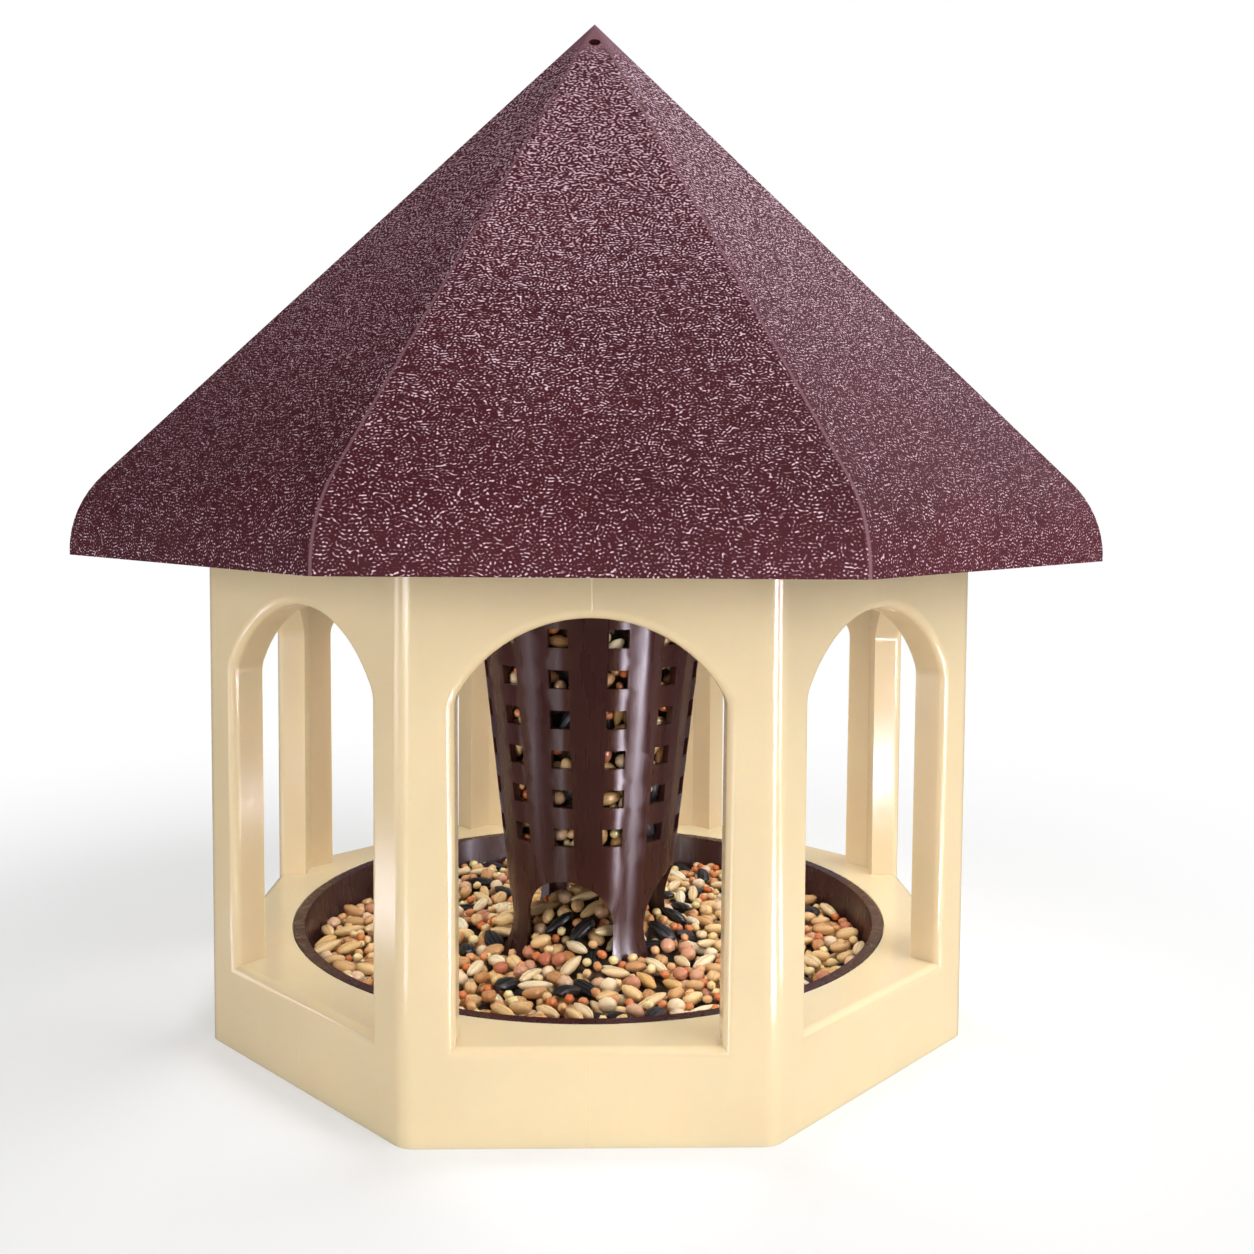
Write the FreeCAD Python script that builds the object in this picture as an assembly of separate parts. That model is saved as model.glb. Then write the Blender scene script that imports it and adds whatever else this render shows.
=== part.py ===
import FreeCAD, Part
import math
import os

# Octagonal bird feeding house of moulded plastic: a lift-off pyramid roof, a house with an arched
# opening in every face, a round seed dish let into its floor, and a perforated hopper that stands
# in the dish and feeds it through arches at its foot.
# Millimetres, +Z up. The origin is the middle of the base on the ground and the front looks along -Y.

# House
sides = 8
house_across_flats = 195.0
house_height = 131.5
wall_draft_deg = 0.75
wall = 8.5
corner_round = 2.8
floor_top = 22.0
floor_thickness = 3.0
skirt_wall = 3.5

# Arched openings, one in each face
arch_width = 57.6
arch_rise = 17.4
arch_crown_below_rim = 16.6
arch_spring_round = 6.0
arch_edge_round = 2.2

# Roof
roof_across_flats = 250.4
roof_slope_deg = 46.25
roof_shell = 2.6
eave_below_rim = 6.0
eave_lip = 0.5
eave_round = 27.0
ridge_flat = 1.6
rib_thickness = 2.4
rib_finger_width = 6.0
rib_finger_depth = 9.0
rib_seat_overhang = 2.5
rib_fit_gap = 0.5
cord_hole_diameter = 3.2
cord_hole_from_axis = 7.0

# Seed dish
dish_rim_radius = 83.5
dish_rim_width = 1.3
dish_rim_thickness = 1.5
dish_depth = 18.0
dish_wall = 1.8
dish_side_slope_deg = 7.0
dish_corner_bevel = 4.0
dish_fit_gap = 0.35
foot_ring_height = 4.0
foot_ring_width = 1.8
foot_ring_gap = 0.4

# Hopper
hopper_cone_foot_radius = 21.0
hopper_taper_deg = 6.1
hopper_wall = 2.0
hopper_height = 118.2
foot_flare_height = 18.2
foot_flare_round = 21.0
foot_flare_deg = 40.0
hopper_bead_width = 1.2
hopper_bead_height = 3.0
hopper_turn_deg = -16.6
hole_columns = 12
hole_rows = 7
hole_width = 5.6
hole_height = 5.1
holes_above_outlets = 12.5
holes_below_mouth = 9.8
outlet_count = 4
outlet_width = 24.8
outlet_height = 30.2

# Seed
seed_gap = 0.35
seed_level_below_rim = 7.5
heap_edge_depth = 13.2
heap_peak_depth = 25.2
column_above_outlets = 2.0
column_below_mouth = 12.0

# How far cutters run past a face, and how near a point has to lie to count as on it
reach = 1.0
hair = 0.01

# Worked out from the sizes above
front_deg = -90.0
half_sector = math.pi / sides
corner_stretch = 1.0 / math.cos(half_sector)
draft = math.tan(math.radians(wall_draft_deg))
taper_angle = math.radians(hopper_taper_deg)
foot_flare = math.radians(foot_flare_deg)
slope = math.radians(roof_slope_deg)
dish_top = floor_top
dish_underside = dish_top - dish_depth
dish_floor = dish_underside + dish_wall
dish_side_run = math.tan(math.radians(dish_side_slope_deg))
dish_mouth_radius = dish_rim_radius - dish_rim_width
rim_seat = dish_top - dish_rim_thickness
arch_crown = house_height - arch_crown_below_rim
eave_height = house_height - eave_below_rim
hopper_top = dish_floor + hopper_height
outlet_crown = dish_floor + outlet_height
lowest_holes = outlet_crown + holes_above_outlets
hole_pitch = (hopper_top - holes_below_mouth - lowest_holes) / (hole_rows - 1)
up = FreeCAD.Vector(0, 0, 1)
origin = FreeCAD.Vector(0, 0, 0)


def house_apothem(height):
    """Distance from the axis to the outside of a house wall."""
    return house_across_flats / 2 - draft * height


def hopper_radius(height):
    """Outside radius of the hopper's cone."""
    return hopper_cone_foot_radius + math.tan(taper_angle) * (height - dish_floor)


def at(x, y, z):
    return FreeCAD.Vector(x, y, z)


def line(start, end):
    return Part.LineSegment(start, end).toShape()


def arc(start, middle, end):
    return Part.Arc(start, middle, end).toShape()


def on_circle(centre, radius, angle):
    """Point on a circle in the plane y = centre.y; the angle is counted from +X towards +Z."""
    return centre + at(radius * math.cos(angle), 0, radius * math.sin(angle))


def face_of(edges):
    return Part.Face(Part.Wire(edges))


def polygon_face(points):
    return Part.Face(Part.makePolygon(points + points[:1]))


def turned(shape, degrees):
    copy = shape.copy()
    copy.rotate(origin, up, degrees)
    return copy


def round_the_axis(shape, count, turn_deg=0.0):
    """Copies of a shape made on the +X side; the first stands at the front, turned on by turn_deg."""
    return [turned(shape, front_deg + turn_deg + 360.0 * k / count) for k in range(count)]


def house_corners(apothem, height):
    """Corners of the house's outline, which has a flat side to the front."""
    radius = apothem * corner_stretch
    corners = []
    for k in range(sides):
        angle = math.radians(front_deg) + half_sector * (2 * k + 1)
        corners.append(at(radius * math.cos(angle), radius * math.sin(angle), height))
    return corners


def prism(low_apothem, low, high_apothem, high):
    """Block of the house's outline between two heights, tapering from one apothem to the other."""
    bottom = house_corners(low_apothem, low)
    top = house_corners(high_apothem, high)
    faces = [polygon_face(bottom[::-1]), polygon_face(top)]
    for k in range(sides):
        after = (k + 1) % sides
        faces.append(polygon_face([bottom[k], bottom[after], top[after], top[k]]))
    skin = Part.Shell(faces)
    skin.sewShape()
    return Part.Solid(skin)


def single(shape):
    """The one solid that a construction has to end in."""
    cleaned = shape.removeSplitter()
    if len(cleaned.Solids) != 1 or not cleaned.isValid():
        raise RuntimeError("expected one valid solid, found %d" % len(cleaned.Solids))
    return cleaned.Solids[0]


def mirrored(point):
    return at(-point.x, point.y, point.z)


def arch_opening():
    """Block that cuts one opening, square to its leaning wall: a sill under a segmental arch."""
    half = arch_width / 2
    radius = (half ** 2 + arch_rise ** 2) / (2 * arch_rise)
    inside = house_apothem(floor_top) - wall
    front = -(inside + wall + 2 * reach)
    centre = at(0, front, arch_crown - radius)
    small = arch_spring_round
    small_x = half - small
    small_z = centre.z + math.sqrt((radius - small) ** 2 - small_x ** 2)
    tangent = math.atan2(small_z - centre.z, small_x)
    sill_end = at(half, front, floor_top)
    jamb_end = at(half, front, small_z)
    spring_middle = on_circle(at(small_x, front, small_z), small, tangent / 2)
    spring_end = on_circle(centre, radius, tangent)
    crown = at(0, front, arch_crown)
    outline = face_of([
        line(mirrored(sill_end), sill_end),
        line(sill_end, jamb_end),
        arc(jamb_end, spring_middle, spring_end),
        arc(spring_end, crown, mirrored(spring_end)),
        arc(mirrored(spring_end), mirrored(spring_middle), mirrored(jamb_end)),
        line(mirrored(jamb_end), mirrored(sill_end)),
    ])
    block = outline.extrude(at(0, -inside - front, 0))
    block.rotate(at(0, -inside, floor_top), at(1, 0, 0), -wall_draft_deg)
    return turned(block, -front_deg)


def slanting_edges(block):
    return [edge for edge in block.Edges if edge.BoundBox.ZLength > house_height / 2]


def outer_arch_edges(shell):
    """Edges of the openings that lie on the outside faces of the walls."""
    found = []
    for edge in shell.Edges:
        middle = edge.valueAt((edge.FirstParameter + edge.LastParameter) / 2)
        from_front = math.atan2(middle.y, middle.x) - math.radians(front_deg)
        turn = round(from_front / (2 * half_sector)) * 2 * half_sector + math.radians(front_deg)
        distance = middle.x * math.cos(turn) + middle.y * math.sin(turn)
        across = abs(middle.y * math.cos(turn) - middle.x * math.sin(turn))
        on_wall = abs(distance - house_apothem(middle.z)) < hair
        in_opening = across < arch_width / 2 + hair
        over_floor = floor_top - hair < middle.z < arch_crown + arch_edge_round
        if on_wall and in_opening and over_floor:
            found.append(edge)
    return found


def make_house_body():
    top_apothem = house_apothem(house_height)
    block = prism(house_across_flats / 2, 0, top_apothem, house_height)
    block = block.makeFillet(corner_round, slanting_edges(block))
    room_top = house_height + reach
    room = prism(house_apothem(floor_top) - wall, floor_top, house_apothem(room_top) - wall, room_top)
    under_floor = floor_top - floor_thickness
    hollow_foot = house_apothem(-reach) - skirt_wall
    hollow = prism(hollow_foot, -reach, house_apothem(under_floor) - skirt_wall, under_floor)
    shell = block.cut(room).cut(hollow)
    shell = shell.cut(round_the_axis(arch_opening(), sides)).removeSplitter()
    shell = shell.makeFillet(arch_edge_round, outer_arch_edges(shell))
    hole = Part.makeCylinder(dish_mouth_radius + dish_fit_gap, dish_depth, at(0, 0, dish_underside))
    seat_depth = dish_rim_thickness + reach
    rebate = Part.makeCylinder(dish_rim_radius + dish_fit_gap, seat_depth, at(0, 0, rim_seat))
    return single(shell.cut([hole, rebate]))


def eave_centre():
    """Centre of the eave's round, in the plane of the roof's section."""
    return at(roof_across_flats / 2 - eave_round, 0, eave_height + eave_lip)


def slope_start():
    """Where the straight slope of the roof's outside meets the round of the eave."""
    return on_circle(eave_centre(), eave_round, math.pi / 2 - slope)


def apex_height(inset):
    """Height at which the slope, set in by that much, reaches the axis."""
    start = slope_start()
    return start.z + start.x * math.tan(slope) - inset / math.cos(slope)


def slope_height(distance, inset):
    """Height of the slope at a distance from the axis, measured square to a face."""
    return apex_height(inset) - distance * math.tan(slope)


def mitred(section, outside):
    """Draw a section out sideways and mitre it half a side to the left and right."""
    far = outside + reach
    side = far * math.tan(half_sector)
    drawn = section.copy()
    drawn.translate(at(0, -side, 0))
    drawn = drawn.extrude(at(0, 2 * side, 0))
    low = section.BoundBox.ZMin - reach
    sector = polygon_face([at(0, 0, low), at(far, -side, low), at(far, side, low)])
    return drawn.common(sector.extrude(at(0, 0, section.BoundBox.ZMax - low + reach)))


def roof_gore():
    """One of the roof's faces, curving down to the eave."""
    centre = eave_centre()
    steep = math.pi / 2 - slope
    inner_round = eave_round - roof_shell
    outside = roof_across_flats / 2
    peak = at(0, 0, apex_height(0))
    inner_peak = at(0, 0, apex_height(roof_shell))
    lip_out = at(outside, 0, eave_height)
    lip_in = at(outside - roof_shell, 0, eave_height)
    out_start = on_circle(centre, eave_round, steep)
    out_middle = on_circle(centre, eave_round, steep / 2)
    out_end = on_circle(centre, eave_round, 0)
    in_start = on_circle(centre, inner_round, steep)
    in_middle = on_circle(centre, inner_round, steep / 2)
    in_end = on_circle(centre, inner_round, 0)
    section = face_of([
        line(peak, out_start),
        arc(out_start, out_middle, out_end),
        line(out_end, lip_out),
        line(lip_out, lip_in),
        line(lip_in, in_end),
        arc(in_end, in_middle, in_start),
        line(in_start, inner_peak),
        line(inner_peak, peak),
    ])
    return mitred(section, outside)


def ridge_gore():
    """Face of a pyramid turned by half a side, which takes the sharp edge off a ridge."""
    setback = ridge_flat / 2 * math.tan(half_sector)
    centre = eave_centre()
    middle = at(centre.x * corner_stretch - setback, 0, centre.z)
    wide = at(eave_round * corner_stretch, 0, 0)
    ellipse = Part.Ellipse(middle + wide, middle + at(0, 0, eave_round), middle)
    bend = Part.ArcOfEllipse(ellipse, 0, math.pi / 2 - slope).toShape()
    start = at(slope_start().x * corner_stretch - setback, 0, slope_start().z)
    peak = at(0, 0, apex_height(0) - setback * math.tan(slope) / corner_stretch)
    lip_end = middle + wide
    low = eave_height - reach
    section = face_of([
        line(peak, start),
        bend,
        line(lip_end, at(lip_end.x, 0, low)),
        line(at(lip_end.x, 0, low), at(0, 0, low)),
        line(at(0, 0, low), peak),
    ])
    return mitred(section, lip_end.x)


def roof_rib():
    """Rib under a ridge: its step sits on the corner of the house's rim and its finger drops inside."""
    rim_outside = house_apothem(house_height) * corner_stretch
    corner_inside = (house_apothem(house_height) - wall - rib_fit_gap) * corner_stretch
    finger_out = corner_inside - rib_thickness / 2 * math.tan(half_sector)
    finger_in = finger_out - rib_finger_width
    seat_out = rim_outside + rib_seat_overhang
    tip = house_height - rib_finger_depth
    within = roof_shell / 2
    outer_end = slope_start().x * corner_stretch

    def under_ridge(radius):
        return at(radius, 0, slope_height(radius / corner_stretch, within))

    outline = polygon_face([
        under_ridge(finger_out),
        under_ridge(outer_end),
        at(seat_out, 0, house_height),
        at(finger_out, 0, house_height),
        at(finger_out, 0, tip),
        at(finger_in, 0, tip),
        at(finger_in, 0, house_height),
    ])
    outline.translate(at(0, -rib_thickness / 2, 0))
    return turned(outline.extrude(at(0, rib_thickness, 0)), math.degrees(half_sector))


def cord_hole(turn_deg):
    """Drill for a hanging cord, square to a roof face just under the apex."""
    outward = at(math.sin(slope), 0, math.cos(slope))
    mouth = at(cord_hole_from_axis, 0, slope_height(cord_hole_from_axis, 0))
    start = mouth + outward * reach
    drill = Part.makeCylinder(cord_hole_diameter / 2, 2 * reach + roof_shell, start, outward * -1)
    return turned(drill, turn_deg)


def make_roof():
    gores = round_the_axis(roof_gore(), sides)
    ribs = round_the_axis(roof_rib(), sides)
    ridges = round_the_axis(ridge_gore(), sides, math.degrees(half_sector))
    roof = gores[0].multiFuse(gores[1:] + ribs)
    roof = roof.common(ridges[0].multiFuse(ridges[1:]))
    return single(roof.cut([cord_hole(front_deg), cord_hole(front_deg + 180)]))


def dish_side(height):
    """Outside radius of the dish's sloping side."""
    return dish_mouth_radius - dish_side_run * (rim_seat - height)


def dish_bevel(level, inset):
    """Two points of the bevel between the dish's floor and side, on its outside or set in by a wall."""
    run = dish_corner_bevel - inset
    side_foot = level + run
    side_radius = dish_side(side_foot) - inset / math.cos(math.radians(dish_side_slope_deg))
    return [at(side_radius - run, 0, level), at(side_radius, 0, side_foot)]


def flare_centre():
    """Centre of the round by which the hopper's cone flares out to its foot."""
    top = dish_floor + foot_flare_height
    out = foot_flare_round * math.cos(taper_angle)
    return at(hopper_radius(top) + out, 0, top - foot_flare_round * math.sin(taper_angle))


def hopper_waist():
    return flare_centre().x - foot_flare_round


def hopper_foot():
    return flare_centre().x - foot_flare_round * math.cos(foot_flare)


def make_dish():
    ring_in = hopper_foot() + foot_ring_gap
    ring_out = ring_in + foot_ring_width
    ring_top = dish_floor + foot_ring_height
    across = dish_wall / math.cos(math.radians(dish_side_slope_deg))
    outer_low, outer_high = dish_bevel(dish_underside, 0)
    inner_low, inner_high = dish_bevel(dish_floor, dish_wall)
    return single(polygon_face([
        at(0, 0, dish_underside),
        outer_low,
        outer_high,
        at(dish_mouth_radius, 0, rim_seat),
        at(dish_rim_radius, 0, rim_seat),
        at(dish_rim_radius, 0, dish_top),
        at(dish_side(dish_top) - across, 0, dish_top),
        inner_high,
        inner_low,
        at(ring_out, 0, dish_floor),
        at(ring_out, 0, ring_top),
        at(ring_in, 0, ring_top),
        at(ring_in, 0, dish_floor),
        at(0, 0, dish_floor),
    ]).revolve(origin, up, 360))


def hopper_tube():
    """The hopper before it is pierced: a cone with a beaded mouth and a flared foot."""
    bead_foot = hopper_top - hopper_bead_height
    bead = hopper_radius(hopper_top) + hopper_bead_width
    across = hopper_wall / math.cos(taper_angle)
    centre = flare_centre()
    inner_round = foot_flare_round + hopper_wall
    start = math.pi - taper_angle
    end = math.pi + foot_flare
    middle = (start + end) / 2
    out_top = on_circle(centre, foot_flare_round, start)
    out_end = on_circle(centre, foot_flare_round, end)
    in_top = on_circle(centre, inner_round, start)
    in_end = on_circle(centre, inner_round, end)
    out_sole = at(out_end.x, 0, dish_floor)
    in_sole = at(in_end.x, 0, dish_floor)
    bead_seat = at(hopper_radius(bead_foot), 0, bead_foot)
    bead_low = at(bead, 0, bead_foot)
    bead_high = at(bead, 0, hopper_top)
    mouth = at(hopper_radius(hopper_top) - across, 0, hopper_top)
    section = face_of([
        line(in_sole, out_sole),
        line(out_sole, out_end),
        arc(out_end, on_circle(centre, foot_flare_round, middle), out_top),
        line(out_top, bead_seat),
        line(bead_seat, bead_low),
        line(bead_low, bead_high),
        line(bead_high, mouth),
        line(mouth, in_top),
        arc(in_top, on_circle(centre, inner_round, middle), in_end),
        line(in_end, in_sole),
    ])
    return section.revolve(origin, up, 360)


def outlet():
    """Cutter for one arched outlet at the hopper's foot, on the +X side."""
    half = outlet_width / 2
    spring = outlet_crown - half
    foot = dish_floor - reach
    length = hopper_foot() + reach
    outline = face_of([
        line(at(0, -half, foot), at(0, half, foot)),
        line(at(0, half, foot), at(0, half, spring)),
        arc(at(0, half, spring), at(0, 0, outlet_crown), at(0, -half, spring)),
        line(at(0, -half, spring), at(0, -half, foot)),
    ])
    return outline.extrude(at(length, 0, 0))


def hole_column():
    """Cutters for one upright row of square holes, on the +X side."""
    holes = []
    for row in range(hole_rows):
        middle = lowest_holes + row * hole_pitch
        outside = hopper_radius(middle + hole_height) + reach
        halfway = outside / 2
        corner = at(halfway, -hole_width / 2, middle - hole_height / 2)
        holes.append(Part.makeBox(outside - halfway, hole_width, hole_height, corner))
    return Part.makeCompound(holes)


def make_hopper():
    holes = round_the_axis(hole_column(), hole_columns, hopper_turn_deg)
    outlets = round_the_axis(outlet(), outlet_count, hopper_turn_deg)
    return single(hopper_tube().cut(holes + outlets))


def make_seed_bed():
    """Seed heaped up within the hopper's foot, running out through its outlets and lying in the dish."""
    level = dish_top - seed_level_below_rim
    across = dish_wall / math.cos(math.radians(dish_side_slope_deg)) + seed_gap
    ring_in = hopper_foot() + foot_ring_gap + foot_ring_width + seed_gap
    bevel_low, bevel_high = dish_bevel(dish_floor, dish_wall)
    ring = polygon_face([
        at(ring_in, 0, dish_floor),
        bevel_low - at(seed_gap, 0, 0),
        bevel_high - at(seed_gap, 0, 0),
        at(dish_side(level) - across, 0, level),
        at(ring_in, 0, level),
    ]).revolve(origin, up, 360)
    heap_radius = hopper_waist() - hopper_wall - seed_gap
    heap = polygon_face([
        at(0, 0, dish_floor),
        at(heap_radius, 0, dish_floor),
        at(heap_radius, 0, dish_floor + heap_edge_depth),
        at(0, 0, dish_floor + heap_peak_depth),
    ]).revolve(origin, up, 360)
    run_foot = dish_floor + foot_ring_height + seed_gap
    run_width = outlet_width - 2 * seed_gap
    run_corner = at(heap_radius / 2, -run_width / 2, run_foot)
    run = Part.makeBox(ring_in + reach - heap_radius / 2, run_width, level - run_foot, run_corner)
    runs = round_the_axis(run, outlet_count, hopper_turn_deg)
    return single(ring.multiFuse([heap] + runs))


def make_seed_column():
    """Seed standing in the hopper above its outlets."""
    inset = hopper_wall + seed_gap
    foot = outlet_crown + column_above_outlets
    level = hopper_top - column_below_mouth
    return single(polygon_face([
        at(0, 0, foot),
        at(hopper_radius(foot) - inset, 0, foot),
        at(hopper_radius(level) - inset, 0, level),
        at(0, 0, level),
    ]).revolve(origin, up, 360))


def main():
    os.makedirs("parts", exist_ok=True)
    pieces = {
        "house_body": make_house_body(),
        "roof": make_roof(),
        "dish": make_dish(),
        "hopper": make_hopper(),
        "seed_bed": make_seed_bed(),
        "seed_column": make_seed_column(),
    }
    for name, shape in pieces.items():
        shape.exportStep("parts/%s.step" % name)
        print("%s: %d solids, %.1f cm3" % (name, len(shape.Solids), shape.Volume / 1000))


main()
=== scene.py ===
import math

import bmesh
import bpy
import numpy as np
from bpy.props import FloatProperty, FloatVectorProperty, IntProperty, PointerProperty
from bpy.types import Operator, Panel, PropertyGroup
from mathutils import Matrix, Vector


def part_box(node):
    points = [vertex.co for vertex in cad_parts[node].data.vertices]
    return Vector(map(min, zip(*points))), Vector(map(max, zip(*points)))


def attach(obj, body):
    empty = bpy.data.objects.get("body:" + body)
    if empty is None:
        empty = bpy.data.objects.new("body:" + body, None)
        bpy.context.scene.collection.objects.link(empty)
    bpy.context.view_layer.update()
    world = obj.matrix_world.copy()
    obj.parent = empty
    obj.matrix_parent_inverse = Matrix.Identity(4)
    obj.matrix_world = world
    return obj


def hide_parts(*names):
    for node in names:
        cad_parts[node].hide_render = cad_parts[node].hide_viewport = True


bl_info = {
    "name": "Bird feeding house",
    "version": (1, 0, 0),
    "blender": (4, 5, 0),
    "location": "3D View > Sidebar > Feeding house",
    "description": "Dresses a feeding house: grained roof, beige house, brown hopper and dish, and mixed seed",
    "category": "Object",
}

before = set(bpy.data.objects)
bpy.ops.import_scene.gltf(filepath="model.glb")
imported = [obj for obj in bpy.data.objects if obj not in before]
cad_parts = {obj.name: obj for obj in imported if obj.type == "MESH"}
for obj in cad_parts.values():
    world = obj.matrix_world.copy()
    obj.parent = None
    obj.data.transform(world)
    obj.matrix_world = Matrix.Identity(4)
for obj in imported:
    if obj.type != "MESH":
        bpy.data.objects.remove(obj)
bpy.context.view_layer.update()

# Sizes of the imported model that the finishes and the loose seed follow, in metres and radians
dish_foot, dish_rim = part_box("dish")
roof_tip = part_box("roof")[1].z
house_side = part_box("house_body")[1].x
house_lean = 0.0131
half_side = math.pi / 8
sill_height = 0.02
arch_head = 0.117
wall_face = 0.0945
dish_wall = 0.0018
dish_rim_thickness = 0.0015
dish_floor = dish_foot.z + dish_wall
dish_mouth_radius = 0.0822
dish_side_slope = math.radians(7.0)
hopper_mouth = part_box("hopper")[1].z
hopper_wall = 0.002
hopper_cone_foot = 0.021
hopper_taper = math.radians(6.1)
flare_top = dish_floor + 0.0182
flare_round = 0.021
flare_angle = math.radians(40.0)
flare_x = hopper_cone_foot + math.tan(hopper_taper) * (flare_top - dish_floor) + flare_round * math.cos(hopper_taper)
flare_z = flare_top - flare_round * math.sin(hopper_taper)
outlet_turn = math.radians(-106.6)
outlet_half = 0.0124
outlet_crown = dish_floor + 0.0302
column_foot = outlet_crown + 0.002
column_level = hopper_mouth - 0.012

# Gaps that keep the loose grains off the walls
dish_gap = 0.0002
hopper_gap = 0.0003
outlet_gap = 0.0004
held_gap = 0.00015


# Settings

def tint(name, description, default):
    return FloatVectorProperty(
        name=name, description=description, subtype="COLOR", size=3, min=0.0, max=1.0, default=default)


def share(name, description, default):
    return FloatProperty(name=name, description=description, subtype="FACTOR", min=0.0, max=1.0, default=default)


def length(name, description, default, least=0.0):
    return FloatProperty(
        name=name, description=description, subtype="DISTANCE", unit="LENGTH", min=least, default=default)


def power(name, description, default):
    return FloatProperty(
        name=name, description=description, subtype="POWER", unit="POWER", min=0.0, default=default)


class HouseFinish(PropertyGroup):
    colour: tint("House colour", "Colour of the beige moulding", (0.755, 0.61, 0.385))
    roughness: share("House roughness", "How matt the beige moulding is", 0.17)
    soak: length("Soak depth", "How far light soaks into the beige moulding", 0.005)
    corner_round: length("Corner round", "Radius of the house's upright corners", 0.0062, 0.003)
    weld_width: length("Weld line width", "Width of the fine line where the plastic met in the mould", 0.00016)


class RoofFinish(PropertyGroup):
    colour: tint("Roof colour", "Colour of the maroon moulding", (0.05, 0.0085, 0.0115))
    # Painted highlight: the crests of the grain are painted this paler colour, standing in for the light they catch
    crest_highlight_colour: tint("Crest colour", "Paler colour on the crests of the grain", (0.34, 0.18, 0.215))
    # Painted highlight: this colour is painted along the top of each crest, standing in for the light that the
    # crests catch
    highlight_colour: tint(
        "Shine colour", "Colour along the top of each crest, where it is rubbed bright", (0.72, 0.53, 0.61))
    grain_length: length("Grain length", "Length of one stroke of the moulded grain", 0.00175, 0.0002)
    grain_height: length("Grain height", "Height of the moulded grain", 0.00015)
    ridge_width: length("Ridge strip", "Width of the smooth strip along each ridge", 0.0006)


class BrownFinish(PropertyGroup):
    colour: tint("Brown colour", "Colour of the hopper and the dish", (0.046, 0.0125, 0.011))
    roughness: share("Brown roughness", "How matt the hopper and the dish are", 0.28)


class SeedMix(PropertyGroup):
    depth: length("Loose depth", "Depth of the loose grains over the packed seed", 0.0046, 0.001)
    tilt: FloatProperty(
        name="Tilt", description="Most that a grain leans", subtype="ANGLE", unit="ROTATION",
        min=0.0, default=math.radians(16.0))
    sunflower: share("Sunflower share", "Share of black sunflower seed", 0.13)
    oat: share("Oat share", "Share of long cream oats", 0.25)
    wheat: share("Wheat share", "Share of tan wheat", 0.3)
    sorghum: share("Sorghum share", "Share of round reddish sorghum", 0.14)
    millet: share("Millet share", "Share of small yellow and red millet", 0.18)
    number: IntProperty(
        name="Seed number", description="Number that fixes the random lie of the grains", min=0, default=7)


class StageLook(PropertyGroup):
    floor_colour: tint("Floor colour", "Colour of the pale floor", (0.9, 0.9, 0.9))
    floor_reach: length("Floor reach", "Distance at which the floor has run out into the white backdrop", 0.42, 0.2)
    room: FloatProperty(
        name="Room light", description="Strength of the soft light all round", min=0.0, default=0.33)
    key: power("Key lamp", "Power of the soft lamp at the front right", 7.6)
    fill: power("Fill lamp", "Power of the soft lamp at the front left", 8.2)
    top: power("Top lamp", "Power of the soft lamp high at the right", 8.0)
    back: power("Back lamp", "Power of each soft lamp behind", 5.0)
    inside: power("Inside lamp", "Power of the soft lamp under the roof, over the seed", 0.16)
    screen_colour: tint("Screen colour", "Colour of the lit screens seen in reflections", (0.92, 0.86, 1.0))


class FeedingHouse(PropertyGroup):
    house: PointerProperty(type=HouseFinish)
    roof: PointerProperty(type=RoofFinish)
    brown: PointerProperty(type=BrownFinish)
    seed: PointerProperty(type=SeedMix)
    stage: PointerProperty(type=StageLook)


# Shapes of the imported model, worked out again where the seed needs them

def hopper_outside(height):
    """Outside radius of the hopper at each of an array of heights."""
    cone = hopper_cone_foot + math.tan(hopper_taper) * (height - dish_floor)
    low = np.clip(height, flare_z - flare_round * math.sin(flare_angle), flare_top)
    flare = flare_x - np.sqrt(np.maximum(flare_round ** 2 - (low - flare_z) ** 2, 0.0))
    return np.where(height > flare_top, cone, flare)


def hopper_inside(height):
    """Inside radius of the hopper at each of an array of heights."""
    cone = hopper_cone_foot + math.tan(hopper_taper) * (height - dish_floor) - hopper_wall / math.cos(hopper_taper)
    deep = flare_round + hopper_wall
    low = np.clip(height, flare_z - deep * math.sin(flare_angle), flare_top)
    flare = flare_x - np.sqrt(np.maximum(deep ** 2 - (low - flare_z) ** 2, 0.0))
    return np.where(height > flare_top, cone, flare)


def dish_inside(height):
    """Inside radius of the dish at each of an array of heights."""
    side = dish_mouth_radius - math.tan(dish_side_slope) * (dish_rim.z - dish_rim_thickness - height)
    return side - dish_wall / math.cos(dish_side_slope)


def beside_outlet(x, y):
    """Distance outwards along the nearest outlet's middle line, and across from it."""
    angle = np.arctan2(y, x) - outlet_turn
    quarter = np.round(angle / (math.pi / 2)) * (math.pi / 2)
    radius = np.hypot(x, y)
    return radius * np.cos(angle - quarter), radius * np.sin(angle - quarter)


def in_outlet(points, margin):
    """True where a point is in one of the hopper's outlets, clear of their edges."""
    along, across = beside_outlet(points[:, 0], points[:, 1])
    half = outlet_half - margin
    spring = outlet_crown - outlet_half
    head = spring + np.sqrt(np.maximum(half ** 2 - across ** 2, 0.0))
    return (np.abs(across) < half) & (points[:, 2] < head)


def clear_in_dish(points):
    """True where a grain's corner is in the dish and clear of the hopper."""
    radius = np.hypot(points[:, 0], points[:, 1])
    height = points[:, 2]
    in_dish = (radius < dish_inside(height) - dish_gap) & (height > dish_floor)
    within = radius < hopper_inside(height) - hopper_gap
    outside = radius > hopper_outside(height) + hopper_gap
    return in_dish & (within | outside | in_outlet(points, outlet_gap))


def clear_in_hopper(points):
    """True where a grain's corner is in the hopper, above its outlets."""
    radius = np.hypot(points[:, 0], points[:, 1])
    height = points[:, 2]
    return (radius < hopper_inside(height) - held_gap) & (height > outlet_crown) & (height < hopper_mouth)


# Nodes

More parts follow.
